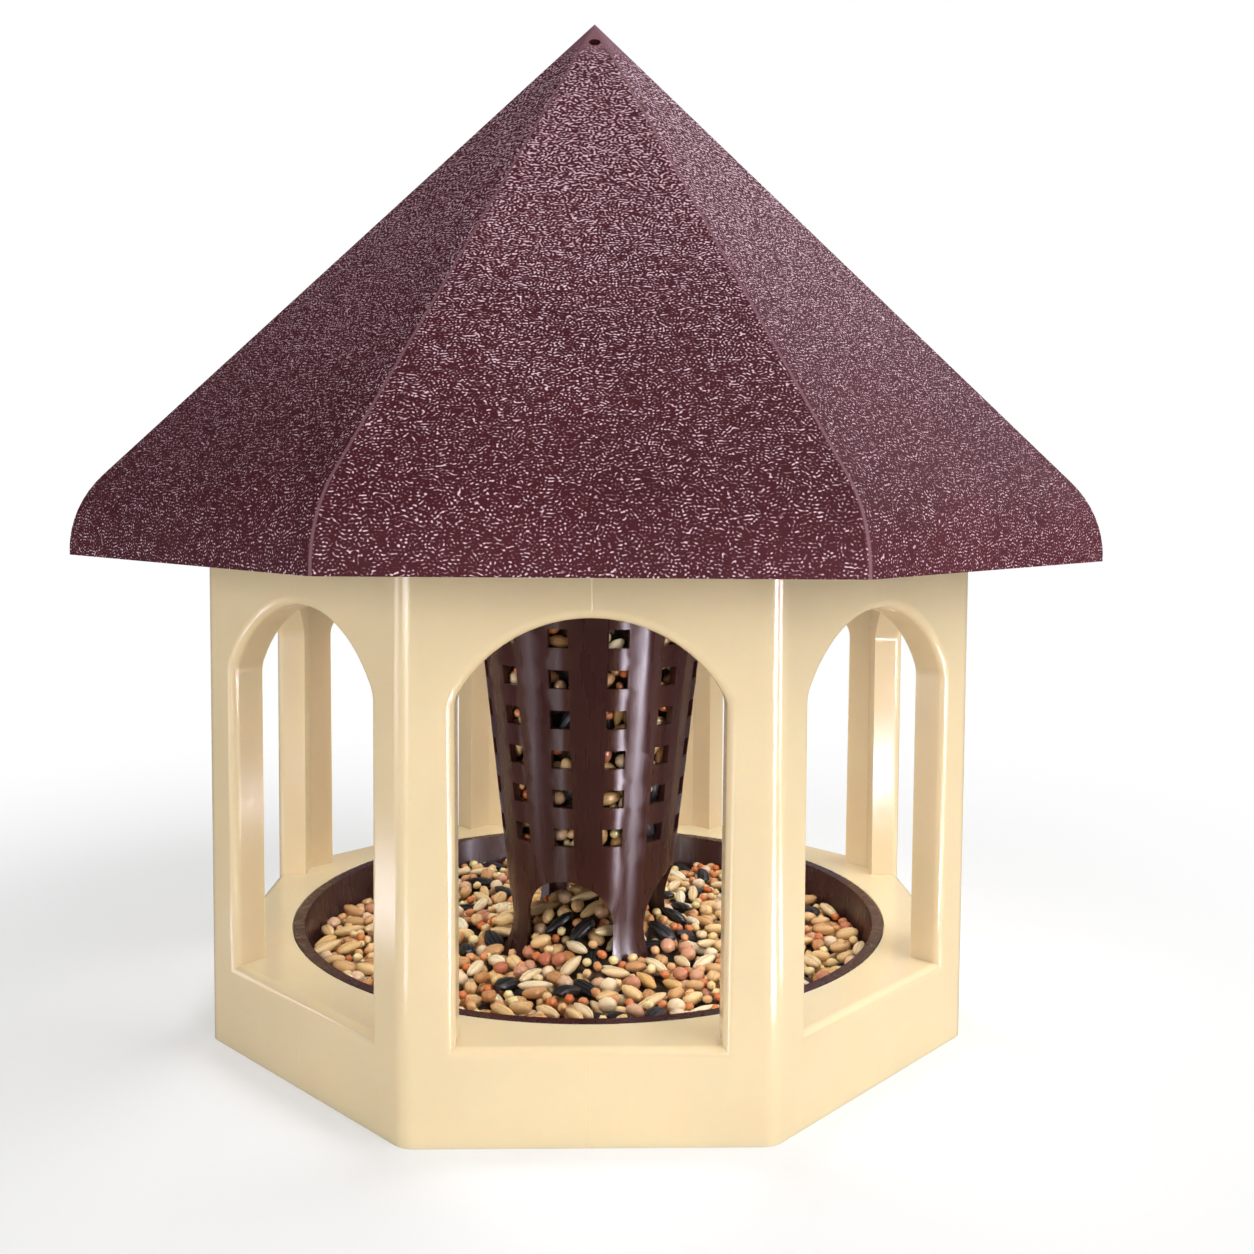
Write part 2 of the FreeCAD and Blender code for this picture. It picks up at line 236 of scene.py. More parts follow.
class Bench:
    """Adds nodes to a tree and wires them, so that a recipe reads from top to bottom."""

    def __init__(self, tree):
        self.tree = tree

    def add(self, kind, **settings):
        node = self.tree.nodes.new(kind)
        for name, value in settings.items():
            setattr(node, name, value)
        return node

    def feed(self, socket, value):
        if isinstance(value, bpy.types.NodeSocket):
            self.tree.links.new(value, socket)
        else:
            socket.default_value = value

    def math(self, operation, *values, clamp=False):
        node = self.add("ShaderNodeMath", operation=operation, use_clamp=clamp)
        for socket, value in zip(node.inputs, values):
            self.feed(socket, value)
        return node.outputs[0]

    def blend(self, value, low, high, to_low=0.0, to_high=1.0, smooth=True):
        """Runs from to_low to to_high as value goes from low to high."""
        node = self.add("ShaderNodeMapRange", interpolation_type="SMOOTHSTEP" if smooth else "LINEAR")
        for socket, number in zip(node.inputs, (value, low, high, to_low, to_high)):
            self.feed(socket, number)
        return node.outputs[0]

    def colour(self, factor, first, second, mode="MIX"):
        node = self.add("ShaderNodeMix", data_type="RGBA", blend_type=mode)
        self.feed(node.inputs[0], factor)
        self.feed(node.inputs[6], first if isinstance(first, bpy.types.NodeSocket) else (*first, 1.0))
        self.feed(node.inputs[7], second if isinstance(second, bpy.types.NodeSocket) else (*second, 1.0))
        return node.outputs[2]

    def noise(self, place, scale, detail=2.0, roughness=0.5):
        node = self.add("ShaderNodeTexNoise")
        self.feed(node.inputs["Vector"], place)
        node.inputs["Scale"].default_value = scale
        node.inputs["Detail"].default_value = detail
        node.inputs["Roughness"].default_value = roughness
        return node.outputs["Fac"]

    def stretched(self, place, scale):
        node = self.add("ShaderNodeMapping")
        self.feed(node.inputs["Vector"], place)
        node.inputs["Scale"].default_value = scale
        return node.outputs["Vector"]

    def attribute(self, name, output="Fac"):
        return self.add("ShaderNodeAttribute", attribute_name=name).outputs[output]

    def bump(self, height, distance, strength=1.0, onto=None):
        node = self.add("ShaderNodeBump")
        node.inputs["Strength"].default_value = strength
        node.inputs["Distance"].default_value = distance
        self.feed(node.inputs["Height"], height)
        if onto is not None:
            self.feed(node.inputs["Normal"], onto)
        return node.outputs["Normal"]


def new_material(name):
    """A material, the bench for its nodes and its surface shader."""
    material = bpy.data.materials.new(name)
    material.use_nodes = True
    bench = Bench(material.node_tree)
    return material, bench, material.node_tree.nodes["Principled BSDF"]


def dress(bench, surface, base, roughness, normal):
    """Wires the colour, roughness and relief that every finish has."""
    bench.feed(surface.inputs["Base Color"], base)
    bench.feed(surface.inputs["Roughness"], roughness)
    bench.feed(surface.inputs["Normal"], normal)


def object_place(bench):
    """Object coordinates, whole and as three numbers."""
    place = bench.add("ShaderNodeTexCoord").outputs["Object"]
    parts = bench.add("ShaderNodeSeparateXYZ")
    bench.feed(parts.inputs[0], place)
    return place, parts.outputs[0], parts.outputs[1], parts.outputs[2]


def about_the_axis(bench, x, y):
    """Distance from the axis, and the angle from the middle of the nearest of the eight faces."""
    radius = bench.math("SQRT", bench.math("ADD", bench.math("MULTIPLY", x, x), bench.math("MULTIPLY", y, y)))
    angle = bench.math("ARCTAN2", y, x)
    return radius, bench.math("PINGPONG", angle, half_side)


# Finishes

def beige_moulding(finish):
    """Satin beige plastic with faint cloudiness and a fine weld line above and below each opening."""
    material, bench, surface = new_material("beige_moulding")
    place, x, y, z = object_place(bench)
    radius, from_middle = about_the_axis(bench, x, y)
    across = bench.math("MULTIPLY", radius, bench.math("SINE", from_middle))
    line = bench.blend(across, finish.weld_width * 0.4, finish.weld_width, 1.0, 0.0)
    low = bench.blend(z, sill_height - 0.0005, sill_height + 0.0005, 1.0, 0.0)
    high = bench.blend(z, arch_head - 0.0005, arch_head + 0.0005)
    outer = bench.blend(radius, wall_face, wall_face + 0.0005)
    weld = bench.math("MULTIPLY", bench.math("MULTIPLY", line, bench.math("ADD", low, high)), outer)
    cloud = bench.noise(place, 38.0, 3.0)
    shade = bench.blend(cloud, 0.3, 0.7, 0.0, 1.0)
    deep = [c * 0.955 for c in finish.colour]
    base = bench.colour(shade, deep, finish.colour)
    pale = [min(1.0, c * 1.1 + 0.02) for c in finish.colour]
    base = bench.colour(bench.math("MULTIPLY", weld, 0.5), base, pale)
    satin = bench.blend(
        bench.noise(place, 700.0, 2.0), 0.3, 0.7, finish.roughness - 0.05, finish.roughness + 0.06)
    skin = bench.bump(bench.noise(place, 90.0, 2.0), 0.00012, 0.25)
    dress(bench, surface, base, satin, bench.bump(weld, 0.00008, 0.6, skin))
    surface.inputs["Subsurface Weight"].default_value = 0.35
    surface.inputs["Subsurface Radius"].default_value = (1.0, 0.6, 0.28)
    surface.inputs["Subsurface Scale"].default_value = finish.soak
    surface.inputs["IOR"].default_value = 1.49
    return material


def grained_maroon(finish):
    """Maroon plastic with a moulded grain of short curled strokes, smooth along the ridges and at the tip. The
    crests, the ridge strips and the tip are painted paler as painted highlight, with more painted crests towards the
    tip.
    """
    material, bench, surface = new_material("grained_maroon")
    place, x, y, z = object_place(bench)
    radius, from_middle = about_the_axis(bench, x, y)
    from_corner = bench.math("SUBTRACT", half_side, from_middle)
    from_ridge = bench.math("MULTIPLY", radius, bench.math("SINE", from_corner))
    off_ridge = bench.blend(from_ridge, finish.ridge_width * 0.35, finish.ridge_width * 0.85)
    off_tip = bench.blend(z, roof_tip - 0.015, roof_tip - 0.005, 1.0, 0.0)
    grained = bench.math("MULTIPLY", off_ridge, off_tip)
    strokes = bench.add("ShaderNodeTexGabor", gabor_type="3D")
    bench.feed(strokes.inputs["Vector"], place)
    strokes.inputs["Scale"].default_value = 1.0 / finish.grain_length
    high = bench.blend(z, roof_tip - 0.092, roof_tip - 0.032)
    bench.feed(strokes.inputs["Frequency"], bench.blend(high, 0.0, 1.0, 2.55, 1.85))
    strokes.inputs["Anisotropy"].default_value = 0.0
    # Painted light: the threshold is shifted so that more pale crests are painted towards the tip, making the roof
    # lighter at the top, where the light falls; it also changes the relief there
    top_light_shift = bench.blend(z, roof_tip - 0.14, roof_tip - 0.03, 0.045, -0.03)
    stroke = bench.math("SUBTRACT", strokes.outputs["Value"], top_light_shift)
    crest = bench.blend(stroke, 0.5, 0.62)
    # Painted highlight along the top of each crest, painted a little weaker towards the tip
    bright = bench.blend(high, 0.0, 1.0, 0.9, 0.7)
    painted = bench.math("MULTIPLY", bench.blend(stroke, 0.57, 0.7), bright)
    painted_highlight = bench.math("MULTIPLY", painted, grained)
    speck = bench.noise(place, 1500.0, 2.0)
    height = bench.math("ADD", crest, bench.math("MULTIPLY", speck, 0.16))
    height = bench.math("MULTIPLY", height, grained)
    # Crest mask: it paints the crests paler as painted highlight and also makes them less rough
    crest_and_highlight = bench.math("MULTIPLY", crest, grained)
    cloud = bench.noise(place, 30.0, 3.0)
    dark = [c * 0.82 for c in finish.colour]
    base = bench.colour(bench.blend(cloud, 0.3, 0.7), dark, finish.colour)
    base = bench.colour(bench.math("MULTIPLY", crest_and_highlight, 0.8), base, finish.crest_highlight_colour)
    base = bench.colour(painted_highlight, base, finish.highlight_colour)
    # Painted highlight: the smooth strips along the ridges and at the tip are painted part way to the crest colour,
    # standing in for the light they catch
    ridge_and_tip_highlight = bench.math("SUBTRACT", 1.0, grained)
    base = bench.colour(bench.math("MULTIPLY", ridge_and_tip_highlight, 0.42), base, finish.crest_highlight_colour)
    polish = bench.blend(crest_and_highlight, 0.0, 1.0, 0.6, 0.36)
    dress(bench, surface, base, polish, bench.bump(height, finish.grain_height))
    surface.inputs["Specular IOR Level"].default_value = 0.1
    return material


def maroon_painted_shade(finish):
    """The roof's smooth inside, painted darker than the outside as painted shade for the hanging hole and the
    inside.
    """
    material, bench, surface = new_material("maroon_painted_shade")
    place = object_place(bench)[0]
    cloud = bench.noise(place, 34.0, 3.0)
    # Painted shade: the inside's tones are 0.7 and 0.55 of the roof colour
    plain = [c * 0.7 for c in finish.colour]
    dark = [c * 0.55 for c in finish.colour]
    base = bench.colour(bench.blend(cloud, 0.3, 0.7), dark, plain)
    satin = bench.blend(bench.noise(place, 600.0), 0.3, 0.7, 0.36, 0.48)
    dress(bench, surface, base, satin, bench.bump(bench.noise(place, 120.0), 0.0001, 0.3))
    surface.inputs["Specular IOR Level"].default_value = 0.15
    return material


def glossy_brown(finish):
    """Glossy dark brown plastic from a turned mould, so that its highlights run up and down."""
    material, bench, surface = new_material("glossy_brown")
    place = object_place(bench)[0]
    streak = bench.noise(bench.stretched(place, (1.0, 1.0, 0.035)), 420.0, 2.0)
    cloud = bench.noise(place, 60.0, 3.0)
    dark = [c * 0.85 for c in finish.colour]
    base = bench.colour(bench.blend(cloud, 0.3, 0.7), dark, finish.colour)
    gloss = bench.blend(streak, 0.3, 0.7, finish.roughness - 0.04, finish.roughness + 0.08)
    drawn = bench.bump(streak, 0.00002, 0.3)
    dress(bench, surface, base, gloss, bench.bump(bench.noise(place, 70.0), 0.0001, 0.05, drawn))
    upright = bench.add("ShaderNodeCombineXYZ")
    upright.inputs["Z"].default_value = 1.0
    bench.feed(surface.inputs["Tangent"], upright.outputs[0])
    surface.inputs["Anisotropic"].default_value = 0.95
    surface.inputs["IOR"].default_value = 1.52
    return material


def grain_finish(name, tones, roughness, crease=None, stripes=None):
    """Dry seed: a tone for each grain, mottled, with a crease along it or pale stripes."""
    material, bench, surface = new_material(name)
    tone = bench.attribute("tone")
    place = bench.attribute("grain_place", "Vector")
    parts = bench.add("ShaderNodeSeparateXYZ")
    bench.feed(parts.inputs[0], place)
    along, sideways, upright = parts.outputs
    ramp = bench.add("ShaderNodeValToRGB")
    bench.feed(ramp.inputs[0], tone)
    stops = ramp.color_ramp.elements
    for k, colour in enumerate(tones):
        stop = stops[k] if k < 2 else stops.new(0.0)
        stop.position = k / (len(tones) - 1)
        stop.color = (*colour, 1.0)
    base = ramp.outputs[0]
    shifted = bench.add("ShaderNodeVectorMath", operation="MULTIPLY_ADD")
    bench.feed(shifted.inputs[0], tone)
    shifted.inputs[1].default_value = (37.0, 19.0, 53.0)
    bench.feed(shifted.inputs[2], place)
    mottle = bench.noise(shifted.outputs[0], 2.2, 3.0, 0.6)
    husk = (0.5, 0.3, 0.16)
    base = bench.colour(bench.blend(mottle, 0.4, 0.75, 0.0, 0.22), base, husk, "MULTIPLY")
    tips = bench.blend(bench.math("ABSOLUTE", along), 0.8, 1.0, 0.0, 0.35)
    base = bench.colour(tips, base, husk, "MULTIPLY")
    height = mottle
    if crease:
        near = bench.blend(bench.math("ABSOLUTE", sideways), 0.03, 0.2, 1.0, 0.0)
        base = bench.colour(bench.math("MULTIPLY", near, crease), base, (0.3, 0.16, 0.07), "MULTIPLY")
        height = bench.math("SUBTRACT", mottle, bench.math("MULTIPLY", near, 0.8))
    if stripes:
        run = bench.add("ShaderNodeTexWave", wave_type="BANDS", bands_direction="Y")
        bench.feed(run.inputs["Vector"], shifted.outputs[0])
        run.inputs["Scale"].default_value = 0.75
        run.inputs["Distortion"].default_value = 1.2
        run.inputs["Detail"].default_value = 1.0
        pale = bench.blend(run.outputs["Fac"], 0.72, 1.0, 0.0, 0.55)
        base = bench.colour(pale, base, stripes)
        height = bench.math("ADD", mottle, run.outputs["Fac"])
    dry = bench.blend(mottle, 0.3, 0.7, roughness - 0.07, roughness + 0.1)
    dress(bench, surface, base, dry, bench.bump(height, 0.00015, 0.5))
    return material


def seed_shadow():
    """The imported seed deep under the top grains, where little light comes."""
    material, bench, surface = new_material("seed_shadow")
    place = object_place(bench)[0]
    cells = bench.add("ShaderNodeTexVoronoi")
    bench.feed(cells.inputs["Vector"], place)
    cells.inputs["Scale"].default_value = 260.0
    parts = bench.add("ShaderNodeSeparateColor")
    bench.feed(parts.inputs[0], cells.outputs["Color"])
    base = bench.colour(parts.outputs[0], (0.06, 0.035, 0.018), (0.26, 0.15, 0.065))
    deep = bench.blend(cells.outputs["Distance"], 0.0, 0.7, 1.0, 0.0)
    base = bench.colour(deep, (0.02, 0.012, 0.008), base)
    dry = bench.blend(parts.outputs[1], 0.0, 1.0, 0.55, 0.75)
    dress(bench, surface, base, dry, bench.bump(deep, 0.001, 0.8))
    return material


# Pieces

def link(obj):
    """Puts an object in the scene."""
    bpy.context.scene.collection.objects.link(obj)
    return obj


def plain_mesh(obj):
    """The object's evaluated mesh, with its attributes."""
    bpy.context.view_layer.update()
    depsgraph = bpy.context.evaluated_depsgraph_get()
    return bpy.data.meshes.new_from_object(
        obj.evaluated_get(depsgraph), preserve_all_data_layers=True, depsgraph=depsgraph)


def soften_corners(joined, wide):
    """Widens the round of the house's upright outer corners, just inside the moulded outline."""
    cuts = 10
    skin = 0.003
    reach = wide * math.sin(half_side)
    for k in range(8):
        turn = half_side * (2 * k + 1)
        out = Vector((math.cos(turn), math.sin(turn), 0.0))
        across = Vector((-out.y, out.x, 0.0))
        for j in range(cuts + 1):
            joined.normal_update()
            wall = [f for f in joined.faces
                    if f.normal.dot(out) > 0.5 and f.calc_center_median().dot(out) > 0.0]
            rims = {e for f in wall for e in f.edges} | {v for f in wall for v in f.verts}
            bmesh.ops.bisect_plane(joined, geom=wall + list(rims), dist=1e-6, plane_no=across,
                                   plane_co=across * (reach * (2 * j / cuts - 1)))
        for v in joined.verts:
            off = abs(v.co.dot(across))
            depth = v.co.dot(out)
            sharp = (house_side - house_lean * v.co.z) / math.cos(half_side)
            if off < reach + 1e-6 and depth > sharp - skin:
                centre = sharp - wide / math.cos(half_side)
                v.co += out * min(0.0, centre + math.sqrt(max(0.0, wide ** 2 - off ** 2)) - depth)


def smooth_copy(node, name, crease_deg, shape=None):
    """A joined-up copy of a CAD node's mesh, smooth over its rounds and crisp at its edges."""
    joined = bmesh.new()
    joined.from_mesh(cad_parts[node].data)
    bmesh.ops.remove_doubles(joined, verts=joined.verts, dist=2e-6)
    if shape:
        shape(joined)
    joined.verts.index_update()
    points = [v.co.copy() for v in joined.verts]
    faces = [[v.index for v in f.verts] for f in joined.faces]
    joined.free()
    mesh = bpy.data.meshes.new(name)
    mesh.from_pydata(points, [], faces)
    mesh.polygons.foreach_set("use_smooth", [True] * len(faces))
    mesh.set_sharp_from_angle(angle=math.radians(crease_deg))
    rough = link(bpy.data.objects.new(name + "_rough", mesh))
    rough.modifiers.new("even_shading", "WEIGHTED_NORMAL").keep_sharp = True
    done = plain_mesh(rough)
    bpy.data.objects.remove(rough)
    done.name = name
    return link(bpy.data.objects.new(name, done))


def stand_for(piece, body, slot, *nodes):
    """Lets a finished piece ride on its body in place of CAD nodes."""
    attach(piece, body)
    if nodes:
        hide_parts(*nodes)


def grain_shape(name, length, width, depth, blunt, lean, around, rings, crease=0.0):
    """A closed grain that lies along X. Blunt rounds its ends, and lean moves its widest place."""
    points = [(-1.0, 0.0, 0.0)]
    for k in range(1, rings + 1):
        along = -math.cos(math.pi * k / (rings + 1))
        swell = (1.0 - along ** 2) ** blunt * (1.0 - lean * along)
        for j in range(around):
            angle = 2 * math.pi * j / around
            dip = 1.0 - crease * max(0.0, math.sin(angle)) ** 6
            points.append((along, swell * math.cos(angle), swell * dip * math.sin(angle)))
    points.append((1.0, 0.0, 0.0))
    last = len(points) - 1
    faces = []
    for j in range(around):
        after = (j + 1) % around
        faces.append((0, 1 + after, 1 + j))
        for k in range(rings - 1):
            row = 1 + k * around
            faces.append((row + j, row + after, row + around + after, row + around + j))
        row = 1 + (rings - 1) * around
        faces.append((row + j, row + after, last))
    mesh = bpy.data.meshes.new(name)
    half = Vector((length / 2, width / 2, depth / 2))
    mesh.from_pydata([(p[0] * half.x, p[1] * half.y, p[2] * half.z) for p in points], [], faces)
    place = mesh.attributes.new("grain_place", "FLOAT_VECTOR", "POINT")
    place.data.foreach_set("vector", [c for p in points for c in p])
    turned = bmesh.new()
    turned.from_mesh(mesh)
    bmesh.ops.recalc_face_normals(turned, faces=turned.faces)
    turned.to_mesh(mesh)
    turned.free()
    return link(bpy.data.objects.new(name, mesh))


class Grain:
    """One kind of grain: its size, its shape and its finish."""

    def __init__(self, name, size, blunt, lean, around, rings, crease, finish):
        self.size = np.array(size)
        self.shape = grain_shape(name, *size, blunt, lean, around, rings, crease)
        self.finish = finish


def grain_kinds():
    """The kinds of grain in the mix, each with its length, width and depth, and its tones from dark to pale."""
    black = ((0.008, 0.008, 0.01), (0.016, 0.015, 0.017))
    cream = ((0.78, 0.48, 0.16), (0.88, 0.62, 0.25), (0.94, 0.76, 0.42), (0.96, 0.86, 0.62))
    tan = ((0.55, 0.25, 0.09), (0.74, 0.39, 0.14), (0.86, 0.54, 0.21), (0.92, 0.66, 0.32))
    red = ((0.55, 0.15, 0.07), (0.8, 0.36, 0.15), (0.88, 0.52, 0.24), (0.95, 0.78, 0.52))
    gold = ((0.68, 0.16, 0.04), (0.9, 0.48, 0.03), (0.95, 0.66, 0.1), (0.96, 0.82, 0.42))
    return {
        "sunflower": Grain(
            "sunflower_grain", (0.0096, 0.0047, 0.0031), 0.6, 0.2, 8, 5, 0.0,
            grain_finish("sunflower_black", black, 0.36, stripes=(0.06, 0.058, 0.06))),
        "oat": Grain(
            "oat_grain", (0.0098, 0.0034, 0.003), 0.68, 0.1, 8, 5, 0.16,
            grain_finish("oat_cream", cream, 0.32, crease=0.3)),
        "wheat": Grain(
            "wheat_grain", (0.0067, 0.004, 0.0036), 0.54, 0.06, 8, 5, 0.18,
            grain_finish("wheat_tan", tan, 0.28, crease=0.22)),
        "sorghum": Grain(
            "sorghum_grain", (0.0047, 0.0042, 0.0038), 0.5, 0.0, 8, 4, 0.0,
            grain_finish("sorghum_red", red, 0.24)),
        "millet": Grain(
            "millet_grain", (0.003, 0.0027, 0.0025), 0.5, 0.0, 6, 4, 0.0,
            grain_finish("millet_gold", gold, 0.22)),
    }


def seed_tree(kinds):
    """Geometry nodes that put the right kind of grain on each point, at the lie and size the point holds."""
    tree = bpy.data.node_groups.new("mixed_seed", "GeometryNodeTree")
    face = tree.interface
    face.new_socket("Geometry", in_out="INPUT", socket_type="NodeSocketGeometry")
    for name in kinds:
        face.new_socket(name, in_out="INPUT", socket_type="NodeSocketObject")
    face.new_socket("Geometry", in_out="OUTPUT", socket_type="NodeSocketGeometry")
    bench = Bench(tree)
    given = bench.add("NodeGroupInput").outputs
    joined = bench.add("GeometryNodeJoinGeometry")

    def held(name, data_type):
        node = bench.add("GeometryNodeInputNamedAttribute", data_type=data_type)
        node.inputs["Name"].default_value = name
        return node.outputs["Attribute"]

    lie = bench.add("FunctionNodeEulerToRotation")
    bench.feed(lie.inputs[0], held("lie", "FLOAT_VECTOR"))
    for k, (name, kind) in enumerate(kinds.items()):
        info = bench.add("GeometryNodeObjectInfo")
        bench.feed(info.inputs["Object"], given[name])
        rounded = bench.add("GeometryNodeSetShadeSmooth")
        bench.feed(rounded.inputs["Geometry"], info.outputs["Geometry"])
        chosen = bench.math("COMPARE", held("kind", "INT"), float(k), 0.1)
        grains = bench.add("GeometryNodeInstanceOnPoints")
        bench.feed(grains.inputs["Points"], given["Geometry"])
        bench.feed(grains.inputs["Selection"], chosen)
        bench.feed(grains.inputs["Instance"], rounded.outputs[0])
        bench.feed(grains.inputs["Rotation"], lie.outputs[0])
        bench.feed(grains.inputs["Scale"], held("size", "FLOAT_VECTOR"))
        real = bench.add("GeometryNodeRealizeInstances")
        bench.feed(real.inputs[0], grains.outputs[0])
        dressed = bench.add("GeometryNodeSetMaterial")
        bench.feed(dressed.inputs["Geometry"], real.outputs[0])
        dressed.inputs["Material"].default_value = kind.finish
        bench.feed(joined.inputs[0], dressed.outputs[0])
    bench.feed(bench.add("NodeGroupOutput").inputs[0], joined.outputs[0])
    return tree


class SeedMap:
    """A height map on which grains settle one at a time, each in the lowest of a few places tried for it."""

    cell = 0.0004
    bite = 0.00012

    def __init__(self, low, high, round_the_hopper=False):
        self.low = np.array(low)
        self.shape = np.ceil((np.array(high) - self.low) / self.cell).astype(int)
        self.wrap = round_the_hopper
        rows, columns = np.indices(self.shape)
        self.x = self.low[0] + (rows + 0.5) * self.cell
        self.y = self.low[1] + (columns + 0.5) * self.cell

    def fill(self, level, depth, open_cells):
        """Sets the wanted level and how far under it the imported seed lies."""
        self.level = level
        self.height = np.where(open_cells, level - depth, np.inf)
        self.slope = np.gradient(level, self.cell)
        self.open = np.argwhere(open_cells)

    def rest(self, place, turn, half):
        """Height at which a grain comes to rest at a place, with the cells under it and its top there."""
        reach = np.sqrt(((turn[:2] * half) ** 2).sum(1))
        first = np.floor((place - reach - self.low) / self.cell).astype(int)
        last = np.ceil((place + reach - self.low) / self.cell).astype(int)
        rows = np.arange(first[0], last[0])
        columns = np.arange(first[1], last[1])
        if columns[0] < 0 or columns[-1] >= self.shape[1]:
            return np.inf, None, None
        if not self.wrap and (rows[0] < 0 or rows[-1] >= self.shape[0]):
            return np.inf, None, None
        dx = (self.low[0] + (rows + 0.5) * self.cell - place[0])[:, None]
        dy = (self.low[1] + (columns + 0.5) * self.cell - place[1])[None, :]
        form = (turn / half ** 2) @ turn.T
        middle = (form[0, 2] * dx + form[1, 2] * dy) / form[2, 2]
        flat = form[0, 0] * dx ** 2 + 2 * form[0, 1] * dx * dy + form[1, 1] * dy ** 2
        spread = middle ** 2 - (flat - 1) / form[2, 2]
        under = spread > 0
        swell = np.sqrt(np.maximum(spread, 0.0))
        cells = np.ix_(rows % self.shape[0], columns)
        ground = self.height[cells]
        height = np.max(np.where(under, ground + middle + swell, -np.inf))
        return height, cells, np.where(under, height - middle + swell, -np.inf)

    def settle(self, kinds, mix, over, give_up, chance):
        """Settles a mix of grains up to the wanted level; returns places, lies, sizes, kinds and tones."""
        shares = np.array([getattr(mix, name) for name in kinds])
        shares = shares / shares.sum()
        grains = []
        refused = 0
        while refused < give_up:
            kind = chance.choice(len(shares), p=shares)
            scale = chance.uniform((0.86, 0.86, 0.88), (1.1, 1.12, 1.1))
            half = list(kinds.values())[kind].size / 2 * scale
            tried = self.open[chance.integers(len(self.open), size=14)]
            want = self.level[tried[:, 0], tried[:, 1]] - self.height[tried[:, 0], tried[:, 1]]
            best = None
            for row, column in tried[np.argsort(-want)[:5]]:
                place = np.array((self.x[row, column], self.y[row, column]))
                up = Vector((-self.slope[0][row, column], -self.slope[1][row, column], 1.0))
                lean = chance.uniform(-mix.tilt, mix.tilt, size=2)
                spin = Matrix.Rotation(chance.uniform(0, 2 * math.pi), 3, "Z")
                turn = up.to_track_quat("Z", "Y").to_matrix() @ spin
                turn = turn @ Matrix.Rotation(lean[0] * 1.5, 3, "X") @ Matrix.Rotation(lean[1], 3, "Y")
                height, cells, top = self.rest(place, np.array(turn), half)
                proud = height - self.level[row, column]
                if best is None or proud < best[0]:
                    best = (proud, place, height, cells, top, turn)
            proud, place, height, cells, top, turn = best
            if proud > over:
                refused += 1
                continue
            refused = 0
            self.height[cells] = np.maximum(self.height[cells], top)
            grains.append(((*place, height - self.bite), turn, scale, kind, chance.uniform()))
        return grains


def strewn(name, grains, tree, kinds, clear):
    """A piece of loose grains, less those that would touch a wall."""
    points = bpy.data.meshes.new(name + "_points")
    points.from_pydata([grain[0] for grain in grains], [], [])
    for label, kind, field, values in (
            ("lie", "FLOAT_VECTOR", "vector", [c for grain in grains for c in grain[1].to_euler()]),
            ("size", "FLOAT_VECTOR", "vector", [c for grain in grains for c in grain[2]]),
            ("kind", "INT", "value", [int(grain[3]) for grain in grains]),
            ("tone", "FLOAT", "value", [grain[4] for grain in grains]),
            ("grain", "INT", "value", list(range(len(grains))))):
        points.attributes.new(label, kind, "POINT").data.foreach_set(field, values)
    holder = link(bpy.data.objects.new(name + "_points", points))
    modifier = holder.modifiers.new("mixed_seed", "NODES")
    modifier.node_group = tree
    for item in tree.interface.items_tree:
        if item.in_out == "INPUT" and item.name in kinds:
            modifier[item.identifier] = kinds[item.name].shape
    mesh = plain_mesh(holder)
    bpy.data.objects.remove(holder)
    mesh.name = name
    corners = np.empty(len(mesh.vertices) * 3, np.float32)
    mesh.vertices.foreach_get("co", corners)
    grain = np.empty(len(mesh.vertices), np.int32)
    mesh.attributes["grain"].data.foreach_get("value", grain)
    touching = np.unique(grain[~clear(corners.reshape(-1, 3).astype(float))])
    doomed = np.isin(grain, touching)
    for label in ("lie", "size", "kind", "grain"):
        mesh.attributes.remove(mesh.attributes[label])
    thinned = bmesh.new()
    thinned.from_mesh(mesh)
    bmesh.ops.delete(thinned, geom=[v for v, bad in zip(thinned.verts, doomed) if bad], context="VERTS")
    thinned.to_mesh(mesh)
    thinned.free()
    print("%s: %d grains, %d left out, %d faces" % (name, len(grains), len(touching), len(mesh.polygons)))
    return link(bpy.data.objects.new(name, mesh))


def by_legs(x, y, inner, outer, margin):
    """True where a leg of the hopper stands between two radii, and a margin to its sides."""
    radius = np.hypot(x, y)
    across = np.abs(beside_outlet(x, y)[1])
    return (radius > inner) & (radius < outer) & (across > outlet_half - margin)


def dish_grains(kinds, mix, chance):
    """Grains over the dish and in the hopper's foot."""
    reach = dish_mouth_radius
    bed = SeedMap((-reach, -reach), (reach, reach))
    level = bed_level(bed.x, bed.y)
    radius = np.hypot(bed.x, bed.y)
    leg = by_legs(bed.x, bed.y, 0.0205, 0.0252, 0.0003)
    bed.fill(level, mix.depth, (radius < dish_inside(level - 0.002)) & ~leg)
    return bed.settle(kinds, mix, 0.0002, 60, chance)


